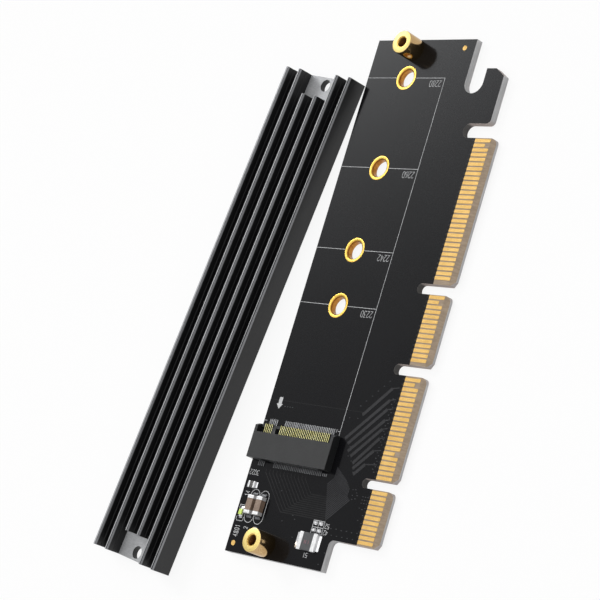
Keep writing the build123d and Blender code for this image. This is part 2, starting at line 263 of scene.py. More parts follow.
class Finish:
    """A material under construction, with its Principled shader at hand."""

    def __init__(self, name, **sockets):
        self.material = bpy.data.materials.new(name)
        self.material.use_nodes = True
        self.tree = self.material.node_tree
        self.shader = self.tree.nodes["Principled BSDF"]
        for key, value in sockets.items():
            self.shader.inputs[key.replace("_", " ")].default_value = value
        self.place = node(self.tree, "TexCoord").outputs["Object"]
        self.normal = node(self.tree, "NewGeometry").outputs["True Normal"]

    def axis(self, letter):
        """One coordinate of the point being shaded, in millimetres of the part's frame."""
        parts = node(self.tree, "SeparateXYZ", {0: self.place})
        return calc(self.tree, "DIVIDE", parts.outputs[letter], MM)

    def lean(self, letter):
        """How far the surface faces along an axis, -1 to 1."""
        return node(self.tree, "SeparateXYZ", {0: self.normal}).outputs[letter]

    def facing(self, letter):
        """How far the surface faces along an axis, 0 to 1 either way."""
        return calc(self.tree, "ABSOLUTE", self.lean(letter))

    def grain(self, stretch, low=0.3, high=0.7, roughness=0.5, where=None):
        """Noise as a mask between two levels, with its waves a metre along each axis."""
        values = {
            "Place": where or self.place,
            "Stretch": stretch,
            "Roughness": roughness,
            "Low": low,
            "High": high,
        }
        return placed_group(self.tree, GRAIN, values).outputs["Mask"]

    def toning(self, dark, light, coarse=300.0, fine=3000.0):
        """A colour that wanders between two tones, with its coarse and fine waves a metre."""
        values = {"Place": self.place, "Dark": dark, "Light": light, "Coarse": coarse, "Fine": fine}
        return placed_group(self.tree, TONING, values).outputs["Colour"]

    def feed(self, socket, source):
        """Links a value to a socket of the shader."""
        self.tree.links.new(source, self.shader.inputs[socket])

    def rough(self, grain, low, high):
        """Roughness that follows a grain between two values."""
        self.feed("Roughness", ramp(self.tree, grain, 0, 1, low, high))

    def rough_by(self, mask, first, second):
        """Roughness that a mask changes from one value or socket to another."""
        self.feed("Roughness", node(self.tree, "Mix", {0: mask, 2: first, 3: second}).outputs[0])

    def bump(self, height, depth):
        """Relief on the surface, with its depth in microns."""
        made = node(self.tree, "Bump", {"Height": height, "Strength": 1.0, "Distance": depth * MICRON})
        self.feed("Normal", made.outputs["Normal"])


# Materials

MASK_SHEEN = {"Specular_IOR_Level": 0.15, "Specular_Tint": (0.96, 0.98, 1.0, 1.0)}


def board_wall(finish, across, along):
    """Colour of the board's side walls: layered glass fibre, browner along the notches, with painted shade
    on the walls at the notch ends.
    """
    tree = finish.tree
    layers = finish.grain((250, 250, 9000), 0.35, 0.65)
    cut = mixed(tree, layers, shade(172, 172, 173), shade(202, 201, 201))
    in_notch = past(tree, across, SHIFT.x + LAST_NOTCH_END - 0.1, 1.25)
    notch_side = all_of(tree, finish.facing("Y"), in_notch)
    wall = mixed(tree, notch_side, cut, shade(180, 169, 164))
    # The walls at the inner ends of the notches, facing out of them, are painted dark: painted shade in
    # the notch ends
    rightward = ramp(tree, finish.lean("X"), 0.15, 0.6)
    from_key = past(tree, along, SHIFT.y + KEY_NOTCH_LOW - 1.3, 0.25)
    to_hook = short_of(tree, along, SHIFT.y + LAST_NOTCH_HIGH + 0.1, 0.25)
    at_ends = short_of(tree, across, SHIFT.x + KEY_NOTCH_END + 0.75, 0.25)
    shaded_notch_end = all_of(tree, rightward, from_key, to_hook, at_ends)
    return mixed(tree, shaded_notch_end, wall, shade(98, 97, 96))


def board_finish():
    """Black solder mask, bare laminate at the contacts and glass-fibre side walls."""
    finish = Finish("card_solder_mask", **MASK_SHEEN)
    tree = finish.tree
    across = finish.axis("X")
    along = finish.axis("Y")
    flat = ramp(tree, finish.facing("Z"), 0.6, 0.75)
    edge = past(tree, across, SHIFT.x + MASK_END, 0.02)
    below_hook = short_of(tree, along, SHIFT.y + TAB_HIGH + 0.05, 0.05)
    bare = all_of(tree, edge, below_hook)
    mask = finish.toning(shade(16, 16, 18), shade(19, 19, 21), 60.0, 2500.0)
    weave = finish.grain((700, 2600, 900), 0.35, 0.65)
    laminate = mixed(tree, weave, shade(150, 134, 116), shade(168, 150, 130))
    face = mixed(tree, bare, mask, laminate)
    finish.feed("Base Color", mixed(tree, flat, board_wall(finish, across, along), face))
    mask_gloss = ramp(tree, finish.grain((1500, 1500, 1500)), 0, 1, 0.1, 0.13)
    finish.rough_by(all_of(tree, flat, inverse(tree, bare)), 0.72, mask_gloss)
    finish.bump(finish.grain((1600, 1600, 1600), 0.2, 0.8), 0.3)
    return finish.material


def trace_finish(name, dark, light):
    """The same mask, paler where copper or a filled hole lies below it."""
    finish = Finish(name, **MASK_SHEEN)
    finish.feed("Base Color", finish.toning(dark, light, 200.0, 2500.0))
    finish.rough(finish.grain((1500, 1500, 1500)), 0.12, 0.16)
    return finish.material


def ink_finish():
    """Printed pale ink, slightly uneven."""
    finish = Finish("printed_ink", Specular_IOR_Level=0.3)
    finish.feed("Base Color", finish.toning(shade(176, 177, 179), shade(206, 207, 208), 500.0, 6000.0))
    finish.rough(finish.grain((5000, 5000, 5000)), 0.55, 0.7)
    return finish.material


def contact_finish():
    """Hard gold plating with fine wiping marks along the card's width."""
    finish = Finish("edge_contact_gold", Metallic=0.35)
    finish.feed("Base Color", finish.toning(shade(212, 170, 90), shade(226, 186, 106), 400.0, 5000.0))
    wiped = finish.grain((300, 9000, 3000))
    finish.rough(wiped, 0.5, 0.62)
    finish.bump(wiped, 0.6)
    return finish.material


def plated_hole_finish():
    """Gold over copper: pale yellow on the rim, deep orange down the barrel, darkened there partly as
    painted shade inside the hole.
    """
    finish = Finish("plated_hole_gold", Metallic=1.0)
    tree = finish.tree
    rim = ramp(tree, finish.facing("Z"), 0.8, 0.97)
    # The barrel is coloured darker than the rim: partly a copper tone, partly painted shade inside the
    # hole
    inside = finish.toning(shade(150, 94, 38), shade(190, 134, 64), 900.0, 4000.0)
    face = finish.toning(shade(212, 172, 78), shade(228, 194, 98), 400.0, 5000.0)
    finish.feed("Base Color", mixed(tree, rim, inside, face))
    wiped = finish.grain((3000, 3000, 3000))
    barrel_gloss = ramp(tree, wiped, 0, 1, 0.16, 0.26)
    rim_gloss = ramp(tree, wiped, 0, 1, 0.34, 0.44)
    finish.rough_by(rim, barrel_gloss, rim_gloss)
    finish.bump(wiped, 0.6)
    return finish.material


def brass_finish():
    """Turned brass: bright along its wall, matt where it was faced off. Its wall is coloured darker than
    its faced ends, as painted shade on the wall.
    """
    finish = Finish("turned_brass", Metallic=1.0)
    tree = finish.tree
    rings = finish.grain((60, 60, 14000))
    faced = ramp(tree, finish.facing("Z"), 0.9, 0.97)
    # The wall's tones are darker than the faced ends' colour: painted shade on the wall
    wall = finish.toning(shade(182, 150, 104), shade(208, 178, 132), 250.0, 4000.0)
    finish.feed("Base Color", mixed(tree, faced, wall, shade(222, 200, 128)))
    finish.rough_by(faced, ramp(tree, rings, 0, 1, 0.12, 0.17), 0.5)
    finish.bump(rings, 0.3)
    return finish.material


def bore_finish():
    """The inside of a threaded bore: a painted highlight at its mouth, and painted shade below it, coppery
    and dull.
    """
    finish = Finish("threaded_bore", Metallic=0.85)
    tree = finish.tree
    # Colour by height: painted shade deep in the bore, a painted highlight near its mouth
    deep = finish.toning(shade(108, 70, 40), shade(150, 100, 58), 700.0, 5000.0)
    mouth_highlight = ramp(tree, finish.axis("Z"), PILLAR_TOP - 0.6, PILLAR_TOP - 0.15)
    finish.feed("Base Color", mixed(tree, mouth_highlight, deep, shade(240, 196, 96)))
    finish.rough(finish.grain((6000, 6000, 9000)), 0.22, 0.4)
    return finish.material


def terminal_finish(name, offset, reach):
    """Socket contacts: gold in the mouth, tin on the tails, painted dark at each contact's sides as
    painted shade, and darker tin on the rear tails as a painted shadow of the socket.

    A contact stands at every pitch, counted from an offset to the socket's
    middle. Its bright strip reaches a share of the pitch to each side.
    """
    finish = Finish(name, Metallic=0.6)
    tree = finish.tree
    low_tail = short_of(tree, finish.axis("Z"), BOARD_TOP + TAIL_HEIGHT, 0.1)
    # The tails behind the socket take a darker tin: painted shadow of the socket
    rear_shadow = short_of(tree, finish.axis("Y"), SHIFT.y + SOCKET_REAR + 0.34, 0.1)
    gold = finish.toning(shade(244, 236, 150), shade(254, 250, 190), 800.0, 6000.0)
    tin = finish.toning(shade(122, 123, 125), shade(148, 149, 151), 800.0, 6000.0)
    shadowed_tin = finish.toning(shade(84, 85, 87), shade(106, 107, 109), 800.0, 6000.0)
    from_first = calc(tree, "SUBTRACT", finish.axis("X"), SHIFT.x + SOCKET_X + offset)
    aside = calc(tree, "ABSOLUTE", off_centre(tree, calc(tree, "DIVIDE", from_first, SOCKET_PITCH)))
    # Beyond its bright strip each contact is painted dark: painted shade at its sides and in the gaps
    shaded_sides = ramp(tree, aside, reach, reach + 0.04)
    mouth = mixed(tree, shaded_sides, gold, shade(40, 38, 30))
    finish.feed("Base Color", mixed(tree, rear_shadow, mixed(tree, low_tail, mouth, tin), shadowed_tin))
    finish.rough(finish.grain((4000, 4000, 4000)), 0.35, 0.5)
    return finish.material


def tin_finish(name, dark, light, rough_low, rough_high, metal=0.4):
    """Tinned metal and reflowed solder, mottled."""
    finish = Finish(name, Metallic=metal)
    finish.feed("Base Color", finish.toning(dark, light, 900.0, 5000.0))
    mottle = finish.grain((2500, 2500, 2500))
    finish.rough(mottle, rough_low, rough_high)
    finish.bump(mottle, 3)
    return finish.material


def moulded_finish(name, dark, light, rough_low, rough_high, relief=6, level=0.45):
    """Moulded plastic or fired ceramic with a fine skin."""
    finish = Finish(name, Specular_IOR_Level=level)
    finish.feed("Base Color", finish.toning(dark, light, 250.0, 4000.0))
    skin = finish.grain((5200, 5200, 5200), 0.25, 0.75)
    finish.rough(skin, rough_low, rough_high)
    finish.bump(skin, relief)
    return finish.material


def milled_places(tree, height, along, upward):
    """Where the cooler was milled: the floors between its fins at both ends, and its end faces."""
    end = SINK_LENGTH / 2
    above = past(tree, height, MILLED_FLOOR - 0.065, 0.015)
    below = short_of(tree, height, MILLED_FLOOR + 0.06, 0.02)
    near_end = past(tree, along, end - MILLED_LENGTH - 0.015, 0.035)
    floor = all_of(tree, above, below, near_end, upward)
    end_face = past(tree, along, end - 0.045, 0.015)
    return calc(tree, "MAXIMUM", floor, end_face)


def anodised_finish():
    """Black anodised extrusion with draw lines, a painted highlight and painted shade on the fin tops, and
    bare metal where it was milled.
    """
    finish = Finish("black_anodising", Specular_IOR_Level=0.5)
    tree = finish.tree
    turned = node(tree, "Mapping", {
        "Vector": finish.place,
        "Location": place(*SINK_AT, 0),
        "Rotation": (0, 0, SINK_TURN),
    }, vector_type="TEXTURE").outputs[0]
    local = node(tree, "SeparateXYZ", {0: turned})
    across = calc(tree, "DIVIDE", local.outputs["X"], MM)
    along = calc(tree, "ABSOLUTE", calc(tree, "DIVIDE", local.outputs["Y"], MM))
    height = finish.axis("Z")
    bare = milled_places(tree, height, along, ramp(tree, finish.lean("Z"), 0.5, 0.8))

    # The left half of each fin's top is painted pale as a painted highlight; the right half of its top is
    # painted dark as painted shade, and its right shoulder pale as a painted highlight
    fins = calc(tree, "SUBTRACT", calc(tree, "DIVIDE", across, FIN_PITCH), 0.5)
    aside = calc(tree, "MULTIPLY", off_centre(tree, fins), FIN_PITCH)
    near_top = past(tree, height, SINK_HEIGHT - 0.16, 0.04)
    right_half = past(tree, aside, 0.01, 0.04)
    crest = all_of(tree, near_top, inverse(tree, right_half))
    upper_wall = past(tree, height, SINK_HEIGHT - 0.39, 0.05)
    shoulder = all_of(tree, upper_wall, ramp(tree, finish.lean("X"), 0.1, 0.3))
    edge_light_and_shade = calc(tree, "MAXIMUM", shoulder, all_of(tree, near_top, right_half))

    draw = finish.grain((9000, 120, 9000), 0.3, 0.7, 0.6, turned)
    cutter = finish.grain((1200, 9000, 2000), 0.3, 0.7, 0.6, turned)
    black = mixed(tree, draw, shade(16, 16, 17), shade(24, 24, 26))
    crest_highlight = mixed(tree, draw, shade(144, 145, 148), shade(172, 173, 176))
    shoulder_highlight = mixed(tree, shoulder, shade(36, 37, 39), shade(150, 151, 154))
    coated = mixed(tree, crest, mixed(tree, edge_light_and_shade, black, shoulder_highlight), crest_highlight)
    metal = mixed(tree, cutter, shade(160, 161, 163), shade(186, 187, 189))
    finish.feed("Base Color", mixed(tree, bare, coated, metal))
    finish.feed("Metallic", calc(tree, "MULTIPLY", bare, 0.4))
    finish.feed("Specular IOR Level", ramp(tree, edge_light_and_shade, 0.0, 1.0, 0.5, 0.1))
    finish.rough_by(bare, ramp(tree, draw, 0, 1, 0.36, 0.5), 0.58)
    finish.bump(draw, 8)
    return finish.material


def lamp_finish():
    """Clear yellow-green lens, mottled."""
    finish = Finish("lamp_lens", Specular_IOR_Level=0.5, Coat_Weight=0.4)
    finish.feed("Base Color", finish.toning(shade(196, 226, 84), shade(222, 244, 128), 700.0, 3000.0))
    finish.rough(finish.grain((3000, 3000, 3000)), 0.2, 0.3)
    return finish.material


# Finishes that one function makes: name, dark tone and light tone
TRACE_TONES = {
    "trace": ("mask_over_copper", shade(50, 50, 51), shade(58, 58, 60)),
    "fine_trace": ("mask_over_fine_copper", shade(32, 32, 33), shade(41, 41, 42)),
    "bright_trace": ("mask_over_dense_copper", shade(48, 48, 50), shade(57, 57, 59)),
    "via": ("tented_vias", shade(58, 59, 61), shade(76, 77, 79)),
}

# The same, with the least and most roughness and how metallic they are
TIN_TONES = {
    "tin": ("tinned_cap", shade(214, 215, 216), shade(236, 236, 237), 0.35, 0.5),
    "solder": ("reflowed_solder", shade(214, 215, 217), shade(238, 238, 240), 0.12, 0.25, 0.9),
    # Capacitor solder has a darker tone than the other solder: painted shade
    "shaded_solder": ("shaded_solder", shade(96, 97, 100), shade(140, 141, 144), 0.2, 0.32, 0.8),
    "dome": ("domed_solder", shade(226, 227, 229), shade(246, 246, 248), 0.16, 0.3, 0.7),
    "pad": ("tinned_pad", shade(104, 105, 107), shade(128, 129, 131), 0.4, 0.55),
}

# The same, with the least and most roughness, the relief in microns and the level of reflection
MOULDED_TONES = {
    "socket": ("socket_moulding", shade(33, 34, 35), shade(39, 40, 41), 0.34, 0.42, 0.6, 0.3),
    "ceramic_brown": ("capacitor_ceramic", shade(122, 101, 86), shade(142, 121, 105), 0.4, 0.55),
    "ceramic_dark": ("resistor_film", shade(70, 69, 68), shade(96, 94, 92), 0.4, 0.55),
    "lamp_carrier": ("lamp_carrier", shade(206, 208, 196), shade(226, 228, 216), 0.4, 0.55),
    "fuse_case": ("fuse_case", shade(62, 63, 65), shade(74, 76, 78), 0.45, 0.6),
    "mark": ("fuse_mark", shade(112, 78, 86), shade(132, 92, 100), 0.5, 0.6),
}

FINISHES = {
    "board": board_finish(),
    "ink": ink_finish(),
    "gold": plated_hole_finish(),
    "contact_gold": contact_finish(),
    "brass": brass_finish(),
    "bore": bore_finish(),
    # The lower contacts get a narrower bright strip, so more of each is painted shade
    "lower_terminal": terminal_finish("lower_socket_contacts", offset=0.25, reach=0.08),
    "upper_terminal": terminal_finish("upper_socket_contacts", offset=0.0, reach=0.2),
    "anodised": anodised_finish(),
    "lamp_lens": lamp_finish(),
}
for make, table in ((trace_finish, TRACE_TONES), (tin_finish, TIN_TONES), (moulded_finish, MOULDED_TONES)):
    for key, values in table.items():
        FINISHES[key] = make(*values)


# Mesh helpers


def new_piece(name, mesh, finish, slot, *replaced):
    """A piece of the scene, riding on the one body."""
    piece = bpy.data.objects.new(name, mesh)
    scene.collection.objects.link(piece)
    mesh.materials.append(FINISHES[finish])
    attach(piece, "root")
    if replaced:
        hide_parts(*replaced)
    return piece


def finished_mesh(name, shape, sharp=35):
    """A bmesh written out as a mesh, smooth where its faces turn gently."""
    bmesh.ops.recalc_face_normals(shape, faces=shape.faces)
    mesh = bpy.data.meshes.new(name)
    shape.to_mesh(mesh)
    shape.free()
    mesh.shade_smooth()
    mesh.set_sharp_from_angle(angle=math.radians(sharp))
    return mesh


def band(shape, first, second):
    """A closed band of faces between two rings with the same number of points."""
    count = len(first)
    for index in range(count):
        after = (index + 1) % count
        shape.faces.new((first[index], first[after], second[after], second[index]))


def prism(shape, outline, low, high):
    """An upright prism over a plan outline."""
    bottom = [shape.verts.new(place(x, y, low)) for x, y in outline]
    top = [shape.verts.new(place(x, y, high)) for x, y in outline]
    shape.faces.new(top)
    shape.faces.new(list(reversed(bottom)))
    band(shape, bottom, top)


def edge_points(points, width, closed):
    """Left and right edges of a strip along a line, mitred at its turns up to a least cosine."""
    count = len(points)
    least = 0.35
    lefts = []
    rights = []
    for index in range(count):
        here = Vector(points[index])
        before = Vector(points[index - 1]) if index > 0 or closed else None
        after = Vector(points[(index + 1) % count]) if index < count - 1 or closed else None
        arrive = (here - before).normalized() if before else (after - here).normalized()
        depart = (after - here).normalized() if after else arrive
        across = Vector((-(arrive.y + depart.y), arrive.x + depart.x)).normalized()
        reach = width / 2 / max(least, across.dot(Vector((-arrive.y, arrive.x))))
        lefts.append(here + across * reach)
        rights.append(here - across * reach)
    return lefts, rights


def strip(shape, points, width, thickness, closed=False):
    """A flat strip that lies on the board along a line."""
    low = BOARD_TOP
    high = BOARD_TOP + thickness
    lefts, rights = edge_points(points, width, closed)
    corners = []
    for left, right in zip(lefts, rights):
        corners.append([
            shape.verts.new(place(left.x, left.y, low)),
            shape.verts.new(place(right.x, right.y, low)),
            shape.verts.new(place(right.x, right.y, high)),
            shape.verts.new(place(left.x, left.y, high)),
        ])
    runs = len(points) if closed else len(points) - 1
    for index in range(runs):
        band(shape, corners[index], corners[(index + 1) % len(points)])
    if not closed:
        shape.faces.new(list(reversed(corners[0])))
        shape.faces.new(corners[-1])


def arc(x, y, radius, start, sweep, steps):
    """Points along an arc in the card's plan, its first and last point included."""
    turns = [start + sweep * index / steps for index in range(steps + 1)]
    return [(x + radius * math.cos(turn), y + radius * math.sin(turn)) for turn in turns]


def round_outline(x, y, radius, sides):
    """Points on a circle in the card's plan."""
    return arc(x, y, radius, 0, 2 * math.pi, sides)[:-1]


def capsule(x, half_width, low, high, sides=10):
    """Outline of a long round-ended frame."""
    top = arc(x, high - half_width, half_width, 0, math.pi, sides)
    return top + arc(x, low + half_width, half_width, math.pi, math.pi, sides)


def ring(shape, x, y, radius, height, sides):
    """A ring of points round an upright axis, or one point where the radius is 0."""
    if radius == 0:
        return [shape.verts.new(place(x, y, height))]
    return [shape.verts.new(place(px, py, height)) for px, py in round_outline(x, y, radius, sides)]


def lathe(profile, x, y, sides=64, closed=True):
    """A turned shape from the radii and heights of its profile."""
    shape = bmesh.new()
    rings = [ring(shape, x, y, radius, height, sides) for radius, height in profile]
    pairs = len(rings) if closed else len(rings) - 1
    for index in range(pairs):
        inner = rings[index]
        outer = rings[(index + 1) % len(rings)]
        for step in range(sides):
            after = (step + 1) % sides
            corners = [inner[step % len(inner)], inner[after % len(inner)]]
            corners += [outer[after % len(outer)], outer[step % len(outer)]]
            shape.faces.new(list(dict.fromkeys(corners)))
    return shape


def softened(node_name, width, finish):
    """A CAD node's shape with its hard edges broken, in place of the node."""
    sharp = 30
    shape = bmesh.new()
    shape.from_mesh(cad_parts[node_name].data)
    bmesh.ops.remove_doubles(shape, verts=shape.verts, dist=MICRON)
    bmesh.ops.dissolve_limit(shape, angle_limit=math.radians(1), verts=shape.verts, edges=shape.edges)
    mesh = finished_mesh(node_name + "_dressed", shape, sharp)
    piece = new_piece(node_name + "_dressed", mesh, finish, finish, node_name)
    bevel = piece.modifiers.new("broken_edges", "BEVEL")
    bevel.width = width * MM
    bevel.segments = 2
    bevel.limit_method = "ANGLE"
    bevel.angle_limit = math.radians(sharp)
    bevel.harden_normals = True
    bevel.miter_outer = "MITER_ARC"


# Print on the card

# Strokes of each digit in a field 0.6 wide and 1 high, and whether they close
DIGITS = {
    "0": (((0.15, 0), (0.45, 0), (0.6, 0.2), (0.6, 0.8), (0.45, 1), (0.15, 1), (0, 0.8), (0, 0.2)), True),
    "1": (((0.1, 0.78), (0.34, 1), (0.34, 0)), False),
    "2": (((0, 0.8), (0.12, 1), (0.48, 1), (0.6, 0.8), (0.6, 0.62), (0, 0), (0.62, 0)), False),
    "3": (((0, 1), (0.6, 1), (0.27, 0.6), (0.46, 0.58), (0.6, 0.4), (0.6, 0.16), (0.45, 0), (0.12, 0),
           (0, 0.14)), False),
    "4": (((0.46, 0), (0.46, 1), (0, 0.3), (0.64, 0.3)), False),
    "5": (((0.58, 1), (0.08, 1), (0.03, 0.52), (0.4, 0.58), (0.6, 0.42), (0.6, 0.16), (0.44, 0),
           (0, 0.02)), False),
    "6": (((0.55, 1), (0.2, 0.85), (0, 0.5), (0, 0.15), (0.15, 0), (0.45, 0), (0.6, 0.15), (0.6, 0.4),
           (0.45, 0.55), (0.02, 0.5)), False),
    "8": (((0.3, 0.53), (0.08, 0.7), (0.08, 0.88), (0.18, 1), (0.42, 1), (0.52, 0.88), (0.52, 0.7),
           (0.05, 0.4), (0, 0.14), (0.14, 0), (0.46, 0), (0.6, 0.14), (0.55, 0.4)), True),
}

# Numbers by the small parts: left, low, height, turn, stroke and slimness
PART_NUMBERS = (
    ("2", -34.65, -13.4, 1.1, SIDEWAYS, 0.12, 0.58),
    ("1", -32.0, -12.95, 1.0, SIDEWAYS, 0.12, 0.58),
    ("4801", -36.9, -15.3, 1.3, SIDEWAYS, 0.12, 0.5),
    ("14", -37.1, -6.75, 1.05, SIDEWAYS, 0.12, 0.58),
    ("3022", -36.1, -1.3, 0.98, UPSIDE_DOWN, 0.08, 0.85),
    ("51", -16.2, -15.65, 0.9, UPSIDE_DOWN, 0.1, 0.85),
    ("52", -12.6, -9.3, 0.9, UPSIDE_DOWN, 0.1, 0.85),
    ("42", -12.6, -10.6, 0.9, UPSIDE_DOWN, 0.1, 0.85),
)


def print_number(shape, text, x, y, height, turn, stroke, slim):
    """A plain number in strokes, from its lower left corner and its turn."""
    spin = Matrix.Rotation(turn, 2)
    step = 0.6 * slim + 0.2
    for index, digit in enumerate(text):
        points, closed = DIGITS[digit]
        placed = []
        for px, py in points:
            moved = spin @ Vector(((px * slim + index * step) * height, py * height))
            placed.append((x + moved.x, y + moved.y))
        strip(shape, placed, stroke, INK, closed)


def print_outline(shape):
    """The drive's outline, with a line and a length mark at each screw hole."""
    left = BOARD_LEFT + 0.1
    right = OUTLINE_RIGHT - OUTLINE_LINE / 2
    top = DRIVE_LENGTHS[-1] + DATUM_Y + OUTLINE_LINE / 2
    gap = 2.72
    mark_x = -17.85
    mark_drop = 0.6
    left_of_socket = -38.2
    right_of_socket = -17.75
    strip(shape, [(OUTLINE_RIGHT, top), (OUTLINE_RIGHT, OUTLINE_FOOT)], OUTLINE_LINE, INK)
    for length in DRIVE_LENGTHS:
        y = length + DATUM_Y
        strip(shape, [(left, y), (HOLE_X - gap, y)], OUTLINE_LINE, INK)
        strip(shape, [(HOLE_X + gap, y), (right, y)], OUTLINE_LINE, INK)
        print_number(shape, "22%d" % length, mark_x, y - mark_drop, 1.3, UPSIDE_DOWN, 0.085, 0.75)
    strip(shape, [(right_of_socket, SOCKET_LINE_Y), (right, SOCKET_LINE_Y)], OUTLINE_LINE, INK)
    strip(shape, [(left, SOCKET_LINE_Y), (left_of_socket, SOCKET_LINE_Y)], OUTLINE_LINE, INK)


def print_arrow(shape):
    """A small arrow that points to the socket."""
    x = -36.1
    tip = 11.95
    neck = 13.0
    tail = 14.4
    head = 0.9
    shaft = 0.48
    outline = [
        (x - head, neck),
        (x, tip),
        (x + head, neck),
        (x + shaft, neck),
        (x + shaft, tail),
        (x - shaft, tail),
        (x - shaft, neck),
    ]
    prism(shape, outline, BOARD_TOP, BOARD_TOP + INK)


def print_frames(shape):
    """Frames round the capacitors, the lamp and the solder domes."""
    for x in (-35.25, -32.5):
        strip(shape, capsule(x, half_width=1.3, low=-12.1, high=-5.15), FRAME_LINE, INK, True)
    lamp_corner = [(-38.6, -9.5), (-38.6, -8.75), (-37.1, -8.75)]
    strip(shape, lamp_corner, FRAME_LINE, INK)
    lamp_frame = [(-38.7, -11.2), (-38.7, -11.8), (-38.45, -12.05), (-36.9, -12.05), (-36.7, -11.85),
                  (-36.7, -11.2)]
    strip(shape, lamp_frame, FRAME_LINE, INK)
    left = -17.05
    right = -14.05
    low = -11.65
    high = -8.95
    across = (left + right) / 2
    along = (low + high) / 2
    strip(shape, [(left, high), (right, high), (right, low), (left, low)], FRAME_LINE, INK, True)
    strip(shape, [(left, along), (right, along)], FRAME_LINE, INK)
    strip(shape, [(across, high), (across, low)], FRAME_LINE, INK)


def card_print():
    """All the pale print, in one piece."""
    shape = bmesh.new()
    print_outline(shape)
    print_arrow(shape)
    print_frames(shape)
    for values in PART_NUMBERS:
        print_number(shape, *values)
    new_piece("card_print", finished_mesh("card_print", shape), "ink", "board")


def fuse_mark():
    """A small printed bar on the fuse's case."""
    shape = bmesh.new()
    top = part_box("fuse_body")[1].z / MM
    half = 0.1
    low = -13.95
    high = -13.2
    for x in (-17.5, -17.1, -16.4):
        outline = [(x - half, low), (x + half, low), (x + half, high), (x - half, high)]
        prism(shape, outline, top - 0.01, top + 0.01)
    new_piece("fuse_mark", finished_mesh("fuse_mark", shape), "mark", "fuse_case")


# Copper that shows through the mask, and tinned pads


def contact_traces():
    """Wide copper bands that climb beside the middle contacts, each with a fine line to its contact."""
    shape = bmesh.new()
    feet_and_heads = (
        ((-12.5, 13.2), (-6.6, 19.3)),
        ((-15.3, 8.0), (-6.4, 16.9)),
        ((-14.2, 7.1), (-6.4, 15.0)),
        ((-13.6, 5.6), (-6.2, 12.8)),
        ((-12.5, 4.7), (-6.2, 11.0)),
        ((-11.4, 3.4), (-6.2, 9.1)),
        ((-11.0, 2.35), (-6.8, 6.5)),
        ((-10.4, 1.2), (-8.0, 3.6)),
    )
    wide = 0.7
    fine = 0.22
    fine_end = MASK_END - 0.8
    climb = 0.3
    for foot, head in feet_and_heads:
        strip(shape, [foot, head], wide, TRACE)
        strip(shape, [head, (fine_end, head[1] + climb)], fine, TRACE * 0.6)
    new_piece("contact_traces", finished_mesh("contact_traces", shape), "trace", "board")


def socket_route(index):
    """Corners of a line from the socket's rear row: down, across, and up past its right end."""
    tail = -34.2 + 1.05 * index
    level = -8.7 + 0.42 * index
    turn = -14.2 - 0.13 * index
    rise = -9.3 - 0.33 * index
    start = -0.7
    bend = -1.4
    top = rise + level - turn
    route = [(tail, start), (tail, bend), (tail + bend - level, level), (turn, level), (rise, top)]
    if index > 2:
        upright = min(1.2 + 0.15 * index, 2.2)
        route.append((rise, top + upright))
    return route


def socket_traces():
    """Fine copper lines below the socket, which close up into a paler field at its right end."""
    shape = bmesh.new()
    dense = bmesh.new()
    lines = 18
    lines_from_tails = 12
    level_width = 0.22
    climbing_width = 0.26
    for index in range(lines):
        route = socket_route(index)
        if index < lines_from_tails:
            strip(shape, route[:4], level_width, TRACE)
        strip(dense, route[3:], climbing_width, TRACE)
    cross_line = [(-38.4, 13.75), (-12.2, 13.75)]
    strip(shape, cross_line, 0.12, TRACE * 0.5)
    stub_end = MASK_END - 0.6
    stub_width = 0.36
    for low, high in CONTACT_SPANS:
        for index in range(round((high - low) / CONTACT_PITCH) + 1):
            y = low + index * CONTACT_PITCH
            strip(shape, [(MASK_END, y), (stub_end, y)], stub_width, DOT)
    new_piece("socket_traces", finished_mesh("socket_traces", shape), "fine_trace", "board")
    new_piece("climbing_traces", finished_mesh("climbing_traces", dense), "bright_trace", "board")


def dot_row(x, y, step_x, step_y, count, aside_x=0.0, aside_y=0.0):
    """Places of dots in a row, every second one a little aside."""
    places = []
    for index in range(count):
        odd = index % 2
        places.append((x + step_x * index + aside_x * odd, y + step_y * index + aside_y * odd))
    return places


def via_dots():
    """Small tented holes that show as pale dots."""
    shape = bmesh.new()
    places = dot_row(-13.7, 14.95, 1.18, 1.15, 6)
    places += dot_row(-12.0, -10.0, 1.42, 0, 6, 0, 0.1)
    places += dot_row(-11.4, -11.25, 1.45, 0, 5)
    places += dot_row(-34.4, 12.6, 0.75, 0, 4)
    places += dot_row(-5.2, 2.4, 0, 0.55, 28, -0.5)
    for y in (-2.7, -3.35, -4.0):
        places += dot_row(-6.1, y, 0.7, 0, 3)

    # Single ones: at the feet of the bands, by the key notch, by the low contacts, near the chip parts
    places += [(-15.7, 12.3), (-13.5, 12.4), (-13.3, 6.6), (-13.1, 4.7), (-11.9, 3.8), (-10.9, 2.5)]
    places += [(-10.6, 1.7), (-9.2, -1.7), (-8.5, -1.6), (-8.0, -2.2), (-7.7, -2.7), (-9.0, -2.8)]
    places += [(-8.8, -3.6), (-8.0, -3.4), (-4.7, -4.9), (-5.4, -5.2), (-6.2, -5.0), (-4.8, -6.3)]
    places += [(-4.6, -7.9), (-5.7, -7.4), (-28.3, -4.5), (-23.2, -8.9), (-22.4, -9.6), (-25.7, -10.4)]
    places += [(-21.6, -13.2), (-11.8, -14.9), (-12.6, -17.3)]
    half = 0.17
    width = 0.15
    for x, y in places:
        strip(shape, [(x - half, y), (x + half, y)], width, DOT)
    new_piece("via_dots", finished_mesh("via_dots", shape), "via", "board")


def contact_places(spans):
    """Places of the socket's contacts across the card."""
    across = []
    for first, last in spans:
        for index in range(round((last - first) / SOCKET_PITCH) + 1):
            across.append(SOCKET_X + first + index * SOCKET_PITCH)
    return across


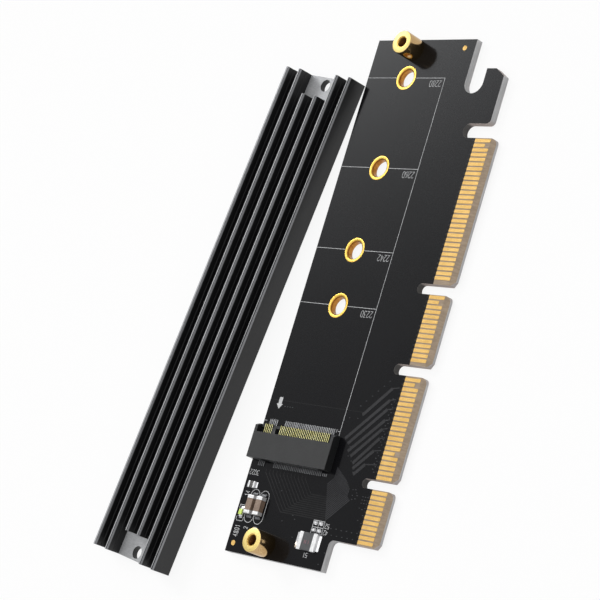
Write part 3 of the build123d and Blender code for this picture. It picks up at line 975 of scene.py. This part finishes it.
def terminal_pads():
    """Tinned pads under the socket's tails, with a few spare ones at the right."""
    shape = bmesh.new()
    front = (((-9.25, -7.25), (-4.75, 9.75)), 8.9, 9.6)
    rear = (((-9.0, -7.5), (-4.5, 10.5)), -0.15, 0.4)
    half = 0.12
    for spans, low, high in (front, rear):
        for x in contact_places(spans):
            outline = [(x - half, low), (x + half, low), (x + half, high), (x - half, high)]
            prism(shape, outline, BOARD_TOP, BOARD_TOP + PAD)
    new_piece("terminal_pads", finished_mesh("terminal_pads", shape), "pad", "tin")


# Turned pieces


def plated_hole(length):
    """Plated hole: raised rim, a flared mouth on each face and the barrel."""
    middle = (BOARD_BACK + BOARD_TOP) / 2
    half = [
        (HOLE_RADIUS, middle),
        (HOLE_RADIUS, BOARD_TOP - 0.17),
        (HOLE_RADIUS + 0.05, BOARD_TOP - 0.09),
        (HOLE_RADIUS + 0.18, BOARD_TOP - 0.005),
        (HOLE_RADIUS + 0.34, BOARD_TOP + 0.04),
        (HOLE_RADIUS + 0.42, BOARD_TOP + 0.05),
        (RING_RADIUS - 0.09, BOARD_TOP + 0.05),
        (RING_RADIUS - 0.02, BOARD_TOP + 0.04),
        (RING_RADIUS, BOARD_TOP + 0.015),
        (RING_RADIUS, BOARD_TOP),
        (HOLE_RADIUS + PLATING, BOARD_TOP),
        (HOLE_RADIUS + PLATING, middle),
    ]
    other = [(radius, 2 * middle - height) for radius, height in reversed(half[1:-1])]
    shape = lathe(half + other, HOLE_X, length + DATUM_Y, sides=72)
    name = "screw_hole_ring_%d" % length
    new_piece(name + "_plated", finished_mesh(name, shape), "gold", "gold", name)


def standoff(end, y):
    """Nut and pillar of one standoff, with the thread that shows in its mouth."""
    wall = PILLAR_RADIUS
    bore = THREAD_RADIUS
    lip = 0.06
    edge = 0.1
    nut = [
        (bore, BOARD_BACK),
        (bore, NUT_TOP),
        (wall, NUT_TOP),
        (wall, BOARD_TOP),
        (NOSE_RADIUS, BOARD_TOP),
        (NOSE_RADIUS, BOARD_BACK),
    ]
    name = "standoff_nut_" + end
    new_piece(name + "_turned", finished_mesh(name, lathe(nut, PILLAR_X, y)), "brass", "brass", name)
    pillar = [
        (0, BORE_FLOOR),
        (bore, BORE_FLOOR),
        (bore, PILLAR_TOP - lip),
        (bore + lip, PILLAR_TOP),
        (wall - edge, PILLAR_TOP),
        (wall - 0.3 * edge, PILLAR_TOP - 0.3 * edge),
        (wall, PILLAR_TOP - edge),
        (wall, NUT_TOP),
        (bore, NUT_TOP),
        (bore, NUT_TOP - STUD_LENGTH),
        (0, NUT_TOP - STUD_LENGTH),
    ]
    name = "standoff_pillar_" + end
    shape = lathe(pillar, PILLAR_X, y, closed=False)
    new_piece(name + "_turned", finished_mesh(name, shape), "brass", "brass", name)
    new_piece("standoff_thread_" + end, thread_mesh(y), "bore", "brass")


def thread_mesh(y):
    """The screw thread inside a pillar's bore, as a sleeve with a helical inner face."""
    shape = bmesh.new()
    pitch = 0.45
    depth = 0.16
    crest = THREAD_RADIUS - 0.01
    outer = THREAD_RADIUS + 0.02
    low = BORE_FLOOR + 0.05
    high = PILLAR_TOP - 0.08
    rows = 56
    sides = 40
    rings = []
    for row in range(rows + 1):
        height = low + (high - low) * row / rows
        inner = []
        for step in range(sides):
            turn = 2 * math.pi * step / sides
            phase = (height / pitch - step / sides) % 1.0
            radius = crest - depth * (1 - abs(2 * phase - 1))
            x = PILLAR_X + radius * math.cos(turn)
            inner.append(shape.verts.new(place(x, y + radius * math.sin(turn), height)))
        rings.append(inner)
    for height in (high, low):
        rings.append(ring(shape, PILLAR_X, y, outer, height, sides))
    for index in range(len(rings)):
        band(shape, rings[index], rings[(index + 1) % len(rings)])
    return finished_mesh("standoff_thread", shape, sharp=60)


# Finishes on the CAD nodes that keep their own shape

KEPT = {
    "circuit_board": "board",
    "socket_lower_contacts": "lower_terminal",
    "socket_upper_contacts": "upper_terminal",
    "sighting_mark_high": "contact_gold",
    "sighting_mark_low": "contact_gold",
}
for row in range(1, 5):
    KEPT["front_contacts_%d" % row] = "contact_gold"
    KEPT["back_contacts_%d" % row] = "contact_gold"
for part in ("capacitor_1", "capacitor_2", "resistor", "fuse", "led"):
    for side in ("a", "b"):
        # The capacitors' solder takes the darker tone that is painted shade
        KEPT[part + "_solder_" + side] = "shaded_solder" if "capacitor" in part else "solder"
for column in ("left", "right"):
    for level in ("low", "high"):
        KEPT["solder_dome_%s_%s" % (column, level)] = "dome"
for name, finish in KEPT.items():
    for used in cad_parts[name].material_slots:
        used.material = FINISHES[finish]

# Pieces whose edges are broken: node, width of the broken edge, and finish
BROKEN_EDGES = [
    ("heat_sink", 0.14, "anodised"),
    ("socket_housing", 0.07, "socket"),
    ("capacitor_1_body", 0.05, "ceramic_brown"),
    ("capacitor_2_body", 0.05, "ceramic_brown"),
    ("resistor_body", 0.03, "ceramic_dark"),
    ("fuse_body", 0.06, "fuse_case"),
    ("led_body", 0.02, "lamp_carrier"),
    ("led_lens", 0.04, "lamp_lens"),
]
CAP_EDGES = (("capacitor_1", 0.1), ("capacitor_2", 0.1), ("resistor", 0.04), ("fuse", 0.09), ("led", 0.03))
for part, width in CAP_EDGES:
    for side in ("a", "b"):
        BROKEN_EDGES.append(("%s_cap_%s" % (part, side), width, "tin"))
for name, width, finish in BROKEN_EDGES:
    softened(name, width, finish)

card_print()
contact_traces()
socket_traces()
via_dots()
terminal_pads()
for length in DRIVE_LENGTHS:
    plated_hole(length)
for end, y in PILLARS:
    standoff(end, y)
fuse_mark()


# Floor, light and camera


def studio_floor():
    """A wide pale floor, white to the camera, that keeps a soft shadow."""
    shape = bmesh.new()
    reach = 3.0
    glow = 0.86
    corners = [shape.verts.new((x * reach, y * reach, 0)) for x, y in ((-1, -1), (1, -1), (1, 1), (-1, 1))]
    shape.faces.new(corners)
    mesh = bpy.data.meshes.new("floor")
    shape.to_mesh(mesh)
    shape.free()
    floor = bpy.data.objects.new("floor", mesh)
    scene.collection.objects.link(floor)
    material = bpy.data.materials.new("pale_floor")
    material.use_nodes = True
    tree = material.node_tree
    shader = tree.nodes["Principled BSDF"]
    shader.inputs["Base Color"].default_value = (0.9, 0.9, 0.9, 1)
    shader.inputs["Roughness"].default_value = 1.0
    shader.inputs["Specular IOR Level"].default_value = 0.0
    rays = node(tree, "LightPath").outputs
    seen = calc(tree, "MAXIMUM", rays["Is Camera Ray"], rays["Is Glossy Ray"])
    seen = calc(tree, "MAXIMUM", seen, rays["Is Transmission Ray"])
    white = node(tree, "Emission", {"Color": (1, 1, 1, 1), "Strength": 1.0})
    share = calc(tree, "MULTIPLY", seen, glow)
    both = node(tree, "MixShader", {0: share, 1: shader.outputs[0], 2: white.outputs[0]})
    tree.links.new(both.outputs[0], tree.nodes["Material Output"].inputs["Surface"])
    mesh.materials.append(material)


def towards(azimuth, elevation):
    """A direction from its compass turn and its rise, in degrees."""
    turn = math.radians(azimuth)
    rise = math.radians(elevation)
    return Vector((math.cos(turn) * math.cos(rise), math.sin(turn) * math.cos(rise), math.sin(rise)))


def studio_world(level, azimuth, elevation, peak, falloff):
    """Even surrounding light with one soft bright patch, and a white background to the camera."""
    world = bpy.data.worlds.new("studio")
    scene.world = world
    world.use_nodes = True
    tree = world.node_tree
    tree.nodes.clear()
    rays = node(tree, "LightPath").outputs
    seen = node(tree, "TexCoord").outputs["Generated"]
    patch = node(tree, "VectorMath", {0: seen, 1: towards(azimuth, elevation)}, operation="DOT_PRODUCT")
    aside = calc(tree, "MULTIPLY", calc(tree, "SUBTRACT", patch.outputs["Value"], 1.0), falloff)
    strength = calc(tree, "MULTIPLY_ADD", calc(tree, "EXPONENT", aside), peak, level)
    around = node(tree, "Background", {"Color": (1, 1, 1, 1), "Strength": strength})
    white = node(tree, "Background", {"Color": (1, 1, 1, 1), "Strength": 1.0})
    both = node(tree, "MixShader", {0: rays["Is Camera Ray"], 1: around.outputs[0], 2: white.outputs[0]})
    leave = node(tree, "OutputWorld")
    tree.links.new(both.outputs[0], leave.inputs["Surface"])


def softbox(name, azimuth, elevation, distance, width, height, glow):
    """A square lamp aimed at the middle, set by how bright its face looks."""
    lamp = bpy.data.lights.new(name, "AREA")
    lamp.shape = "RECTANGLE"
    lamp.size = width
    lamp.size_y = height
    lamp.energy = glow * math.pi * width * height
    away = towards(azimuth, elevation)
    held = bpy.data.objects.new(name, lamp)
    held.location = away * distance
    held.rotation_euler = away.to_track_quat("Z", "Y").to_euler()
    scene.collection.objects.link(held)


def studio_camera():
    """The photograph's viewpoint, as fitted to the card."""
    lens = bpy.data.cameras.new("camera")
    lens.lens = 138.497
    lens.sensor_width = 36.0
    lens.clip_start = 0.01
    lens.clip_end = 20.0
    viewpoint = place(303.357, -51.874, 321.467)
    forward = Vector((-0.71882, 0.18266, -0.67077)).normalized()
    upward = Vector((-0.07039, 0.94078, 0.33162))
    sideways = forward.cross(upward).normalized()
    upward = sideways.cross(forward)
    turn = Matrix((sideways, upward, -forward)).transposed().to_4x4()
    camera = bpy.data.objects.new("camera", lens)
    camera.matrix_world = Matrix.Translation(viewpoint) @ turn
    scene.collection.objects.link(camera)
    scene.camera = camera


studio_floor()
studio_world(level=0.62, azimuth=150, elevation=32, peak=16.5, falloff=93)
softbox("overhead", azimuth=200, elevation=82, distance=1.0, width=0.9, height=0.9, glow=1.0)
studio_camera()
scene.view_settings.view_transform = "Standard"
